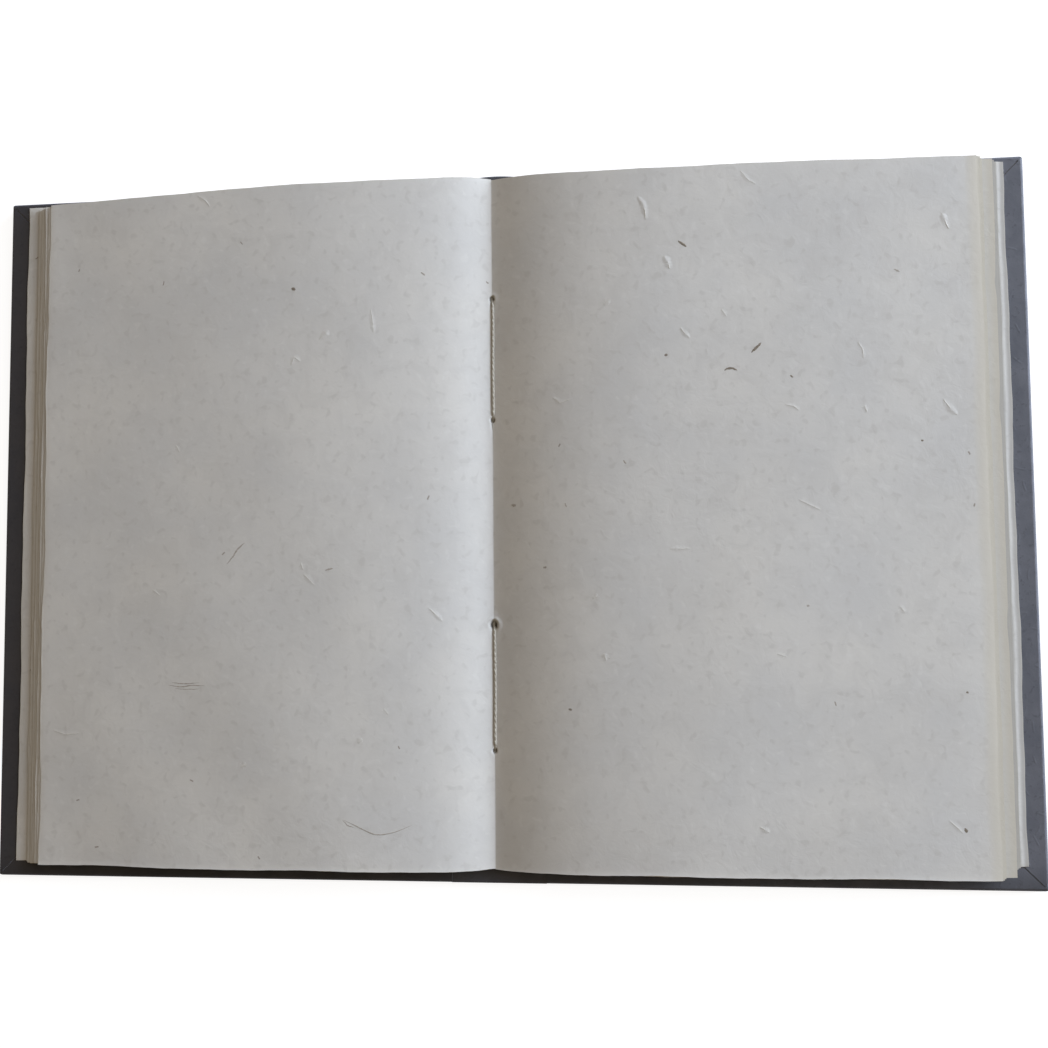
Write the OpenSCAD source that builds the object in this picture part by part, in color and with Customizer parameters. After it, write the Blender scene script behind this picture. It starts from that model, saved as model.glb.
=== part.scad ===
// Hard-cover journal of handmade paper, lying open at the middle of a section.
// Millimetres. X runs across the spread, Y up the page, Z up from the table.
// The origin is at the bottom centre of the open cover.

/* [Leaves] */
// Width of a leaf, from its fold to its fore-edge
leaf_w = 127; // [100:1:160]
// Height of a leaf
leaf_h = 178; // [140:1:220]
// Thickness of one leaf of handmade paper
leaf_t = 0.25; // [0.15:0.05:0.4]
// Left half's thickness at the fore-edge
left_stack = 2.45; // [1.8:0.05:3.2]
// Right half's thickness at the fore-edge
right_stack = 5.4; // [4.4:0.1:6]
// How far the left half's leaves arch up between fold and fore-edge
left_arch = 3.8; // [1:0.1:4]
// How far the right half's leaves arch up
right_arch = 1.2; // [0.2:0.1:1.4]
// Thickness left over the back at the bottom of the gutter
fold_t = 0.95; // [0.9:0.05:1.2]
// Distance over which the left leaves roll up out of the gutter
left_roll = 4.4; // [3:0.1:6]
// The same for the right leaves, which rise more gently
right_roll = 13; // [7:0.5:15]
// How far the leaves' head and tail dip beside the fold
fold_dip = 0.2; // [0:0.1:1]
// How far the opened fold lies left of the spine's middle
fold_offset = 0.6; // [0:0.1:1]
// Steps of leaves that show at the left fore-edge
left_steps = 8; // [4:1:12]
// Steps of leaves that show at the right fore-edge
right_steps = 14; // [6:1:18]
// How much shorter the lower right leaves are at the tail
short_tail = 2.0; // [0.5:0.1:3]
// How much shorter the lower right leaves are at the head
short_head = 0.2; // [0.1:0.1:1.5]

/* [Case] */
// Thickness of the cover boards
board_t = 2.2; // [1.5:0.1:3]
// Thickness of the spine board
spine_board_t = 1.8; // [1.2:0.1:2.2]
// Width of the spine board
spine_board_w = 15.6; // [14:0.1:17]
// Thickness of the covering paper
cover_paper_t = 0.3; // [0.2:0.05:0.5]
// Cover that stands out past the leaves at the head
head_square = 1.0; // [0.6:0.1:4]
// Cover that stands out past the leaves at the tail
tail_square = 3.5; // [2:0.1:6]
// Width of the joint between spine board and cover board
joint_w = 4.2; // [4:0.1:8]
// Cover that stands out past the longest leaf at the fore-edge
fore_square = 5.8; // [3:0.1:8]
// Width of the covering paper that is turned in over the boards
turn_in = 14; // [8:1:20]
// Radius of the boards' softened edges
board_edge_r = 0.5; // [0.2:0.1:0.7]
// Radius of the cover's corners, seen from above
corner_r = 1.2; // [0.6:0.1:4]
// Border of cover that shows outside the pasted leaf at the fore-edge
pastedown_fore = 4.6; // [3:0.1:8]
// The same at the head
pastedown_head = 1.0; // [0.6:0.1:4]
// The same at the tail of the front cover
front_pastedown_tail = 3.6; // [2:0.1:7]
// The same at the tail of the back cover
back_pastedown_tail = 5.6; // [2:0.1:7]

/* [Sewing] */
// Thickness of the sewing thread
thread_d = 0.8; // [0.5:0.1:0.8]
// Diameter of the sewing holes
hole_d = 1.3; // [1.2:0.1:1.6]
// Height of the upper stitch's first hole over the middle of the leaf
upper_stitch_top = 58; // [50:1:64]
// Height of the upper stitch's second hole over the middle of the leaf
upper_stitch_foot = 26; // [14:1:40]
// Depth of the lower stitch's first hole under the middle of the leaf
lower_stitch_top = 27; // [14:1:40]
// Depth of the lower stitch's second hole under the middle of the leaf
lower_stitch_foot = 59; // [50:1:64]
// How far the thread runs on behind the outer holes, to its knots
kettle_run = 12; // [6:1:14]
// Width of the paper strip that lines the back of the sections
lining_w = 11.6; // [9:0.1:12]
// Thickness of that lining
lining_t = 0.25; // [0.15:0.05:0.4]

/* [Hidden] */
$fn = 48;
glue = 0.03;                 // room that paste takes between two glued layers
seat = 0.1;                  // air under the leaves that lie on a cover
cut = 1;                     // how far a cutter runs past what it cuts
left = -1;
right = 1;

// Levels, from the table up
cover_top = cover_paper_t + board_t + cover_paper_t;
spine_top = cover_paper_t + spine_board_t + cover_paper_t;
leaf_base = cover_top + leaf_t + seat;
lining_z = spine_top + glue;
back_z = lining_z + lining_t + glue;
gutter_z = leaf_base + fold_t;

// Places across the spread
hinge_x = spine_board_w / 2 + 0.5;
hinge_z = cover_paper_t + board_t / 2;
board_x = spine_board_w / 2 + joint_w;
left_reach = [leaf_w - 0.8, leaf_w - 5.6];
right_reach = [leaf_w + 1.9, leaf_w - 3.1];
cover_x = right_reach[0] + fore_square;
back_half = spine_board_w / 2 - 0.8;

// Places up the page
cover_h = leaf_h + head_square + tail_square;
cover_y = cover_h / 2;
leaf_mid = (tail_square - head_square) / 2;
board_y = cover_y - cover_paper_t;

// Shape of the leaves: d is the distance from the fold, share is 0 for the lowest leaf and 1 for the top one
left_bias = 0.7;             // under 1, the leaves are highest nearer to the fold than to the fore-edge
right_bias = 0.65;
roll_bias = 1.15;            // over 1, the fold opens softly before the leaves rise
curl = 0.1;                  // how far the top leaves bend down at the right fore-edge
curl_w = 5;                  // over how wide a strip they do
group_split = 0.52;          // share at which the right half parts into two groups of leaves
group_jump = 2.6;            // how much farther the lower group reaches
function stack(side) = side < 0 ? left_stack : right_stack;
function reach(side) = side < 0 ? left_reach : right_reach;
function swell(side) = side < 0 ? left_arch : right_arch;
function bias(side) = side < 0 ? left_bias : right_bias;
function roll(side) = side < 0 ? left_roll : right_roll;
function curl_at(side, d) = side < 0 ? 0 : curl * pow(max(0, d - reach(side)[1] + curl_w) / curl_w, 2);
function laid(side, d) = let (u = min(1, d / reach(side)[1]))
    stack(side) + swell(side) * sin(180 * pow(u, bias(side))) - curl_at(side, min(d, reach(side)[1]));
function rise(side, d) = fold_t + (laid(side, d) - fold_t) * (1 - exp(-pow(d / roll(side), roll_bias)));
function leaf_z(side, share, d) = leaf_base + share * rise(side, d);
function leaf_x(side, d) = side * d - fold_offset;

// Fore-edges: the leaves fan out towards the cover, a little unevenly
uneven = 0.2;
function jump(side, share) = side > 0 && share < group_split ? group_jump : 0;
function leaf_reach(side, share, i) =
    let (r = reach(side), span = r[0] - r[1] - jump(side, 0))
    r[1] + span * (1 - share) + jump(side, share) + (share > 0.95 || share < 0.05 ? 0 : uneven * sin(137 * i));
function fore_edge(side, n) = [for (i = [0:n - 1], level = [0, 1])
    let (d = leaf_reach(side, (i + 0.5) / n, i)) [leaf_x(side, d), leaf_z(side, (i + level) / n, d)]];

// Top surface, sampled closer together near the fold
top_points = 26;
function top_curve(side, n, share = 1) = let (last = leaf_reach(side, (n - 0.5) / n, n - 1))
    [for (i = [top_points - 1:-1:1]) let (d = last * pow(i / top_points, 1.8))
        [leaf_x(side, d), leaf_z(side, share, d)]];
function backwards(list) = [for (i = [len(list) - 1:-1:0]) list[i]];

module slab_y(length, middle = 0) {
    // A profile drawn in X and Z, run along Y about a middle
    translate([0, middle + length / 2, 0])
        rotate([90, 0, 0])
            linear_extrude(length) children();
}

module pages() {
    back_shoulder = 0.8;
    profile = concat(
        fore_edge(left, left_steps), top_curve(left, left_steps), [[-fold_offset, gutter_z]],
        backwards(top_curve(right, right_steps)), backwards(fore_edge(right, right_steps)),
        [[back_half + back_shoulder, leaf_base], [back_half, back_z],
         [-back_half, back_z], [-back_half - back_shoulder, leaf_base]]);
    color("#C9C8C1")
    difference() {
        slab_y(leaf_h, leaf_mid) polygon(profile);
        lower_group_cut(leaf_mid - leaf_h / 2, short_tail);
        lower_group_cut(leaf_mid + leaf_h / 2, short_head);
        for (end = [-1, 1]) fold_notch(end);
        for (y = hole_places) sewing_hole(y);
        thread_channel();
    }
}

module fold_notch(end) {
    // The leaves' head and tail run in a little towards the fold
    half = 7;
    translate([-fold_offset, leaf_mid + end * leaf_h / 2, leaf_base - cut])
        linear_extrude(stack(right) + 2 * cut)
            polygon([[-half, 0], [-half / 2, -end * fold_dip * 0.3], [0, -end * fold_dip], [half / 2, -end * fold_dip * 0.3],
                     [half, 0], [half, end * cut], [-half, end * cut]]);
}

module lower_group_cut(edge_y, short) {
    // The lower right leaves were torn shorter than the upper ones
    start = 14;
    far = cover_x + cut;
    steps = 12;
    lift = [for (i = [0:steps]) let (d = start + (right_reach[0] - start) * i / steps)
        [leaf_x(right, d), leaf_z(right, group_split, d)]];
    slab_y(2 * short, edge_y)
        polygon(concat([[leaf_x(right, start), leaf_base - cut], [far, leaf_base - cut],
                        [far, leaf_z(right, group_split, far)]], backwards(lift)));
}

// Sewing: the thread lies inside the fold along two stitches and behind it everywhere else
thread_r = thread_d / 2;
bend_r = thread_r + 0.2;
thread_x = -fold_offset - 0.15;
inside_z = gutter_z + thread_r + 0.24;
behind_z = back_z + thread_r + glue;
knot_r = 0.5;
hole_places = [leaf_mid + upper_stitch_top, leaf_mid + upper_stitch_foot,
               leaf_mid - lower_stitch_top, leaf_mid - lower_stitch_foot];
run_top = hole_places[0] + kettle_run;
run_foot = hole_places[3] - kettle_run;

module sewing_hole(y) {
    translate([thread_x, y, back_z - cut])
        cylinder(d = hole_d, h = gutter_z - back_z + 2 * cut);
}

module thread_channel() {
    // Hollow along the back of the fold, with a pocket for the knot at each end
    half = thread_r + 0.1;
    translate([thread_x - half, run_foot, back_z - cut])
        cube([2 * half, run_top - run_foot, thread_d + 0.07 + cut]);
    for (y = [run_top, run_foot])
        translate([thread_x, y, back_z - cut])
            cylinder(r = knot_r + 0.15, h = 2 * knot_r + 0.1 + cut);
}

module thread_run(y0, y1, z) {
    translate([thread_x, y1, z])
        rotate([90, 0, 0])
            cylinder(r = thread_r, h = y1 - y0);
}

module thread_bend(y, z, towards, turn) {
    // Quarter ring between a run along Y and the drop through a hole; turn is 1 inside the fold, -1 behind it
    translate([thread_x, y + towards * bend_r, z - turn * bend_r])
        rotate([0, 90, 0])
            rotate([0, 0, turn > 0 ? (towards > 0 ? 180 : 90) : (towards > 0 ? 270 : 0)])
                rotate_extrude(angle = 90)
                    translate([bend_r, 0]) circle(r = thread_r);
}

module sewing_thread() {
    drop = inside_z - behind_z - 2 * bend_r;
    color("#BEBEB6") {
        for (stitch = [[0, 1], [2, 3]]) {
            top = hole_places[stitch[0]];
            foot = hole_places[stitch[1]];
            thread_run(foot + bend_r, top - bend_r, inside_z);
            thread_bend(top, inside_z, -1, 1);
            thread_bend(foot, inside_z, 1, 1);
        }
        for (y = hole_places)
            translate([thread_x, y, behind_z + bend_r])
                cylinder(r = thread_r, h = drop);
        // Behind the fold: out to a knot, across the middle, and out to the other knot
        thread_bend(hole_places[0], behind_z, 1, -1);
        thread_run(hole_places[0] + bend_r, run_top, behind_z);
        thread_bend(hole_places[1], behind_z, -1, -1);
        thread_bend(hole_places[2], behind_z, 1, -1);
        thread_run(hole_places[2] + bend_r, hole_places[1] - bend_r, behind_z);
        thread_bend(hole_places[3], behind_z, -1, -1);
        thread_run(run_foot, hole_places[3] - bend_r, behind_z);
        for (y = [run_top, run_foot])
            translate([thread_x, y, back_z + glue + knot_r]) sphere(r = knot_r);
    }
}

module spine_lining() {
    color("#B5B0A2")
        translate([-lining_w / 2, leaf_mid - leaf_h / 2 + 4, lining_z])
            cube([lining_w, leaf_h - 8, lining_t]);
}

module spine_board() {
    color("#8C8577")
        translate([-spine_board_w / 2, -board_y + glue, cover_paper_t + glue])
            cube([spine_board_w, 2 * (board_y - glue), spine_board_t - 2 * glue]);
}

module round_end(length, height, r) {
    // Half of a strip's outline, from 0 to length, with its far corners rounded
    union() {
        square([length - r, height]);
        translate([0, r]) square([length, height - 2 * r]);
        for (z = [r, height - r])
            translate([length - r, z]) circle(r = r);
    }
}

module cover_slab(side, x0, x1, half_y, z0, z1, r, plan_r) {
    // A board or its wrapping: soft edges at the fore-edge, head and tail, square at the joint
    height = z1 - z0;
    translate([0, 0, z0])
    intersection() {
        slab_y(2 * half_y)
            mirror([side < 0 ? 1 : 0, 0])
                translate([x0, 0]) round_end(x1 - x0, height, r);
        rotate([90, 0, 90])
            translate([0, 0, -x1])
                linear_extrude(2 * x1)
                    for (flip = [0, 1]) mirror([flip, 0]) round_end(half_y, height, r);
        linear_extrude(height)
            mirror([side < 0 ? 1 : 0, 0])
                union() {
                    translate([x0, -half_y]) square([x1 - x0 - plan_r, 2 * half_y]);
                    translate([x0, plan_r - half_y]) square([x1 - x0, 2 * (half_y - plan_r)]);
                    for (y = [-1, 1])
                        translate([x1 - plan_r, y * (half_y - plan_r)]) circle(r = plan_r);
                }
    }
}

module cover_board(side) {
    color("#8C8577")
        cover_slab(side, board_x, cover_x - cover_paper_t - glue, board_y - glue, cover_paper_t + glue,
                   cover_top - cover_paper_t - glue, board_edge_r, corner_r - cover_paper_t);
}

module cover_paper(side) {
    // One sheet round the board, turned in on three sides and mitred at the corners
    bay_x = cover_x - turn_in;
    bay_y = cover_y - turn_in;
    mitre_w = 0.2;
    mitre_l = (turn_in - corner_r) * sqrt(2);
    color("#5D5F6B")
    difference() {
        cover_slab(side, board_x, cover_x, cover_y, 0, cover_top, board_edge_r + cover_paper_t, corner_r);
        cover_slab(side, board_x - cut, cover_x - cover_paper_t, board_y, cover_paper_t,
                   cover_top - cover_paper_t, board_edge_r, corner_r - cover_paper_t);
        mirror([side < 0 ? 1 : 0, 0, 0]) {
            translate([board_x - cut, -bay_y, cover_top - cover_paper_t - cut])
                cube([bay_x - board_x + cut, 2 * bay_y, cover_paper_t + 2 * cut]);
            for (y = [-1, 1])
                translate([bay_x, y * bay_y, cover_top - cover_paper_t - cut])
                    rotate([0, 0, y * 45])
                        translate([-cut, -mitre_w / 2, 0])
                            cube([mitre_l + cut, mitre_w, cover_paper_t + 2 * cut]);
        }
    }
}

module pastedown(side, tail) {
    // The end leaf glued to the board: over the turn-ins, and down onto the bare board between them
    x0 = board_x - 2;
    x1 = cover_x - pastedown_fore;
    y0 = -cover_y + tail;
    y1 = cover_y - pastedown_head;
    dip_x = cover_x - turn_in - glue;
    dip_y = cover_y - turn_in - glue;
    low = cover_top - cover_paper_t;
    color("#BDBBB3")
    mirror([side < 0 ? 1 : 0, 0, 0])
        difference() {
            union() {
                translate([x0, y0, cover_top]) cube([x1 - x0, y1 - y0, leaf_t]);
                translate([board_x, -dip_y, low]) cube([dip_x - board_x, 2 * dip_y, cover_paper_t + cut / 10]);
            }
            translate([board_x + leaf_t, leaf_t - dip_y, low + leaf_t])
                cube([dip_x - board_x - 2 * leaf_t, 2 * (dip_y - leaf_t), cover_paper_t + cut]);
        }
}

module spine_cover_paper() {
    // Strip over the spine board and both joints, turned in at head and tail
    half_w = board_x - 0.15;
    board_half = spine_board_w / 2 + glue;
    tuck = cover_paper_t;
    color("#4A4B55")
    intersection() {
        union() {
            translate([-half_w, -cover_y, 0]) cube([2 * half_w, 2 * cover_y, cover_paper_t]);
            for (y = [-1, 1])
                slab_y(turn_in, y * (cover_y - turn_in / 2))
                    polygon([[-half_w, 0], [half_w, 0], [half_w, 2 * tuck], [board_half + tuck, 2 * tuck],
                             [board_half + tuck, spine_top], [board_half, spine_top - tuck],
                             [board_half, tuck], [-board_half, tuck], [-board_half, spine_top - tuck],
                             [-board_half - tuck, spine_top], [-board_half - tuck, 2 * tuck], [-half_w, 2 * tuck]]);
            for (y = [-1, 1])
                slab_y(turn_in, y * (cover_y - turn_in / 2))
                    translate([-board_half - tuck, spine_top - tuck])
                        square([2 * (board_half + tuck), tuck]);
            for (y = [-1, 1])
                translate([-board_half - tuck, y * (cover_y - tuck / 2) - tuck / 2, 0])
                    cube([2 * (board_half + tuck), tuck, spine_top]);
        }
        rotate([90, 0, 90])
            translate([0, 0, -half_w - cut])
                linear_extrude(2 * (half_w + cut))
                    for (flip = [0, 1]) mirror([flip, 0]) round_end(cover_y, spine_top, tuck);
    }
}

pages();
sewing_thread();
spine_lining();
spine_board();
spine_cover_paper();
cover_board(left);  // front_board
cover_paper(left);  // front_cover_paper
pastedown(left, front_pastedown_tail);  // front_pastedown
cover_board(right);  // back_board
cover_paper(right);  // back_cover_paper
pastedown(right, back_pastedown_tail);  // back_pastedown
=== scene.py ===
import bpy
import numpy as np
from mathutils import Matrix


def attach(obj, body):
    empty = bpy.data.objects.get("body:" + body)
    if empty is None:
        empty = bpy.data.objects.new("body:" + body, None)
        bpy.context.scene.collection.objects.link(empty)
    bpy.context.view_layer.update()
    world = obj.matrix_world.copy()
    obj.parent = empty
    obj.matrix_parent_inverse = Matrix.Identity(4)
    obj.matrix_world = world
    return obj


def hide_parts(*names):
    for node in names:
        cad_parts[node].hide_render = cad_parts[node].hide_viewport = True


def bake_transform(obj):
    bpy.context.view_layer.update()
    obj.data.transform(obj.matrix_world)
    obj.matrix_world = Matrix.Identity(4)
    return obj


# Opened journal of handmade paper. Dictionaries hold millimetres and degrees; mm turns lengths into Blender's metres
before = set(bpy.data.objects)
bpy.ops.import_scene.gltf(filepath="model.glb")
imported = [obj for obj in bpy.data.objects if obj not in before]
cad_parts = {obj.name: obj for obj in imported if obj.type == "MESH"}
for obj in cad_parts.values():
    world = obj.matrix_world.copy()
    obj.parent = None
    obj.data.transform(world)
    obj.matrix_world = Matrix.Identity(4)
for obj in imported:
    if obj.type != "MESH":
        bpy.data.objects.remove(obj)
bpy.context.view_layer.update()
mm = 0.001
print("frame loaded:", ", ".join(sorted(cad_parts)))


# Camera: the photograph's place and direction, solved from the corners of cover and leaves
cameraView = dict(place=(46.5, -23.85, 332.1), right=(0.9929, -0.0084, -0.1190),
                  down=(-0.0170, -0.9973, -0.0709), ahead=(-0.1181, 0.0724, -0.9904),
                  lens=44.14, sensor=36.0, clip=(0.01, 20))


def makeCamera(view):
    # The camera's own axes are right, up and backwards, as the columns of its matrix
    data = bpy.data.cameras.new("photoCamera")
    data.sensor_width, data.lens = view["sensor"], view["lens"]
    data.clip_start, data.clip_end = view["clip"]
    made = bpy.data.objects.new("photoCamera", data)
    turn = Matrix((view["right"], [-c for c in view["down"]], [-c for c in view["ahead"]])).transposed()
    made.matrix_world = Matrix.Translation([c * mm for c in view["place"]]) @ turn.to_4x4()
    bpy.context.scene.collection.objects.link(made)
    bpy.context.scene.camera = made


makeCamera(cameraView)
print("camera placed")


# Colours and nodes
def colour(text):
    # sRGB hex to linear: ((c + 0.055) / 1.055) to the power 2.4, or c / 12.92 for the darkest
    c = np.array([int(text[i:i + 2], 16) for i in (1, 3, 5)]) / 255
    return (*np.where(c < 0.04045, c / 12.92, ((c + 0.055) / 1.055) ** 2.4).tolist(), 1.0)


def addNode(tree, kind, settings=None, inputs=None):
    # settings are the node's own options; inputs are its sockets by name or number, each a value, another node's
    # output, or another node, which stands for its result: output 2 of a colour mix, output 0 of the others
    made = tree.nodes.new("ShaderNode" + kind)
    for key, value in (settings or {}).items():
        setattr(made, key, value)
    for key, value in (inputs or {}).items():
        if isinstance(value, bpy.types.Node):
            value = value.outputs[2 if value.bl_idname == "ShaderNodeMix" else 0]
        if isinstance(value, bpy.types.NodeSocket):
            tree.links.new(value, made.inputs[key])
        else:
            made.inputs[key].default_value = value
    return made


def newMaterial(name):
    made = bpy.data.materials.new(name)
    made.use_nodes = True
    made.node_tree.nodes.clear()
    return made, made.node_tree


# Node options that come up again and again
multiply, multiplyAdd = dict(operation="MULTIPLY"), dict(operation="MULTIPLY_ADD")
flatNoise, colourMix = dict(noise_dimensions="2D"), dict(data_type="RGBA")
smooth = dict(interpolation_type="SMOOTHSTEP")


def fibreHeights(tree, place, plan):
    # Scattered fibres, one in each cell of a grid of random points: in the cell's own turned axes a fibre is the
    # curve y = bend * x squared, and its height falls off as 1 - (distance / width) squared, and towards its ends
    cell, bend = plan["cell"], plan["bend"]
    half = plan["length"] / 2 / cell
    moved = addNode(tree, "VectorMath", multiplyAdd,
                    {0: place, 1: (1 / (cell * mm),) * 3, 2: (plan["shift"], plan["shift"] * 1.7, 0)})
    points = addNode(tree, "TexVoronoi", dict(voronoi_dimensions="2D"),
                     {"Vector": moved, "Scale": 1, "Randomness": 0.9})
    random = addNode(tree, "SeparateColor", None, {0: points.outputs["Color"]})
    local = addNode(tree, "VectorMath", dict(operation="SUBTRACT"), {0: moved, 1: points.outputs["Position"]})
    angle = addNode(tree, "Math", multiply, {0: random, 1: 6.283})
    turned = addNode(tree, "VectorRotate", dict(rotation_type="Z_AXIS"), {"Vector": local, "Angle": angle})
    axes = addNode(tree, "SeparateXYZ", None, {0: turned})
    curve = addNode(tree, "Math", multiplyAdd, {0: random.outputs[1], 1: 2 * bend, 2: -bend})
    square = addNode(tree, "Math", multiply, {0: axes, 1: axes})
    offset = addNode(tree, "Math", multiplyAdd, {0: square, 1: curve, 2: axes.outputs[1]})
    across = addNode(tree, "Math", multiply, {0: offset, 1: cell / plan["width"]})
    acrossTwo = addNode(tree, "Math", multiply, {0: across, 1: across})
    body = addNode(tree, "Math", dict(operation="SUBTRACT", use_clamp=True), {0: 1, 1: acrossTwo})
    along = addNode(tree, "Math", dict(operation="ABSOLUTE"), {0: axes})
    ends = addNode(tree, "MapRange", smooth,
                   {"Value": along, "From Min": half * 0.55, "From Max": half, "To Min": 1, "To Max": 0})
    there = addNode(tree, "Math", dict(operation="LESS_THAN"), {0: random.outputs[2], 1: plan["share"]})
    ending = addNode(tree, "Math", multiply, {0: ends, 1: there})
    return addNode(tree, "Math", multiply, {0: body, 1: ending})


# Handmade bast-fibre paper, dried on a screen: matt, off-white, cloudy where the pulp lay thicker, with embossed
# fibres and a few bark flecks. noise holds each pattern's size in millimetres, detail, roughness and distortion.
# levels holds the pattern that brings a colour in, how it does, between which of its values, and the colour's
# greatest share: smudges lie where the pulp is thin, pale shives where it is thick. bump holds shares of the relief
paperLook = dict(
    # lower is painted shade for the leaves that lie under others
    thin="#C1BFB9", thick="#C9C6BE", patch="#BAB7B0", smudge="#B0ACA4", shive="#CFCDC6", lower="#A19E98",
    # hole is painted shade, the dark inside of the needle holes
    foreEdge="#BDB7A8", fleck="#7B6F60", hole="#2E2923", roughness=0.88, specular=0.25, ior=1.5, relief=0.10,
    noise=dict(cloud=(26, 4, 0.5, 0), patch=(6, 3, 0.6, 0.6), dimple=(2.4, 2, 0.55, 1.2), grain=(1, 1, 0.6, 0.5),
               smudge=(2.4, 1.5, 0.45, 0.25)),
    levels=dict(thick=("cloud", "LINEAR", 0.3, 0.7, 1), patch=("patch", "LINEAR", 0.45, 0.7, 0.34),
                smudge=("smudge", "SMOOTHSTEP", 0.6, 0.78, 0.36), shive=("smudge", "SMOOTHSTEP", 0.36, 0.2, 0.32)),
    fibres=dict(short=dict(cell=6.0, length=3.0, width=0.5, bend=0.5, share=0.5, shift=11.7),
                long=dict(cell=15.0, length=6.0, width=0.5, bend=0.8, share=0.4, shift=27.3),
                fleck=dict(cell=12.0, length=1.2, width=0.25, bend=0.5, share=0.05, shift=41.9)),
    warp=1.6, fleckShare=0.8, bump=dict(grain=0.05, dimple=0.2, patch=0.42, short=0.05, long=0.06))


def makePaper(name, look):
    # Each colour of the list is mixed over the ones before it by its share; the relief is the sum of weight * pattern
    made, tree = newMaterial(name)
    place = addNode(tree, "UVMap", dict(uv_map="page"))
    patterns = {}
    for key, (size, detail, roughness, distortion) in look["noise"].items():
        patterns[key] = addNode(tree, "TexNoise", flatNoise, {"Vector": place, "Scale": 1 / (size * mm),
                                "Detail": detail, "Roughness": roughness, "Distortion": distortion})
    share = {}
    for key, (source, shape, low, high, most) in look["levels"].items():
        share[key] = addNode(tree, "MapRange", dict(interpolation_type=shape),
                             {"Value": patterns[source], "From Min": low, "From Max": high, "To Max": most})
    warped = addNode(tree, "VectorMath", multiplyAdd,
                     {0: patterns["patch"].outputs["Color"], 1: (look["warp"] * mm,) * 3, 2: place})
    for key, plan in look["fibres"].items():
        patterns[key] = fibreHeights(tree, warped, plan)
    # The fore-edge is creamier, and the leaves that stay under the others get painted shade, a little darker
    for key, attribute in dict(lower="under", foreEdge="rim", hole="hole").items():
        share[key] = addNode(tree, "Attribute", dict(attribute_name=attribute)).outputs["Fac"]
    share["fleck"] = addNode(tree, "Math", dict(operation="MULTIPLY", use_clamp=True),
                             {0: patterns["fleck"], 1: look["fleckShare"]})
    tone = colour(look["thin"])
    for key in ("thick", "patch", "smudge", "shive", "lower", "foreEdge", "fleck", "hole"):
        tone = addNode(tree, "Mix", colourMix, {0: share[key], 6: tone, 7: colour(look[key])})
    height = 0
    for key, weight in look["bump"].items():
        height = addNode(tree, "Math", multiplyAdd, {0: patterns[key], 1: weight, 2: height})
    bump = addNode(tree, "Bump", None, {"Strength": 1, "Distance": look["relief"] * mm, "Height": height})
    shader = addNode(tree, "BsdfPrincipled", None, {"Base Color": tone, "Roughness": look["roughness"],
                     "Specular IOR Level": look["specular"], "IOR": look["ior"], "Normal": bump})
    addNode(tree, "OutputMaterial", None, {0: shader})
    return made


handmadePaper = makePaper("handmadeBastPaper", paperLook)


# The fibres and bark flecks that lie on the leaves, and the linen thread: matt plant fibre. Pressed waste-paper board
# and lining paper: grey or buff, with paler and darker shreds. Each has two tones, and their size in millimetres
fibreLook = dict(
    pale=dict(name="bastFibrePale", light="#C9C6BE", deep="#BCB9B0", size=0.8, roughness=0.8),
    faint=dict(name="bastFibreBrown", light="#A8A297", deep="#979084", size=0.8, roughness=0.8),
    dark=dict(name="barkFibreDark", light="#8A8173", deep="#6E6558", size=0.8, roughness=0.8),
    thread=dict(name="linenThread", light="#B9B5A9", deep="#A39D8E", size=0.5, roughness=0.75))
fibreSurface = dict(onMap=True, detail=3, shred=0.5, low=0.3, high=0.7, strength=0.5, relief=0.03, specular=0.3)
boardLook = dict(
    greyboard=dict(name="greyboard", light="#8F8B83", deep="#7B776F", size=0.9, roughness=0.9),
    lining=dict(name="liningPaper", light="#B7AF9C", deep="#A39A86", size=1.6, roughness=0.9))
boardSurface = dict(onMap=False, detail=4, shred=0.7, low=0.35, high=0.65, strength=1, relief=0.05, specular=0.25)


def makeTwoTone(look, surface):
    # Tone wanders between two colours with one noise, which is the relief too
    made, tree = newMaterial(look["name"])
    if surface["onMap"]:
        place, kind = addNode(tree, "UVMap", dict(uv_map="page")), flatNoise
    else:
        place, kind = addNode(tree, "TexCoord").outputs["Object"], None
    noise = addNode(tree, "TexNoise", kind, {"Vector": place, "Scale": 1 / (look["size"] * mm),
                    "Detail": surface["detail"], "Roughness": surface["shred"]})
    spread = addNode(tree, "MapRange", None,
                     {"Value": noise, "From Min": surface["low"], "From Max": surface["high"]})
    mixed = addNode(tree, "Mix", colourMix, {0: spread, 6: colour(look["light"]), 7: colour(look["deep"])})
    bump = addNode(tree, "Bump", None,
                   {"Strength": surface["strength"], "Distance": surface["relief"] * mm, "Height": noise})
    shader = addNode(tree, "BsdfPrincipled", None, {"Base Color": mixed, "Roughness": look["roughness"],
                     "Specular IOR Level": surface["specular"], "Normal": bump})
    addNode(tree, "OutputMaterial", None, {0: shader})
    return made


fibreMaterials = {key: makeTwoTone(look, fibreSurface) for key, look in fibreLook.items()}
boardMaterials = {key: makeTwoTone(look, boardSurface) for key, look in boardLook.items()}


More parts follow.
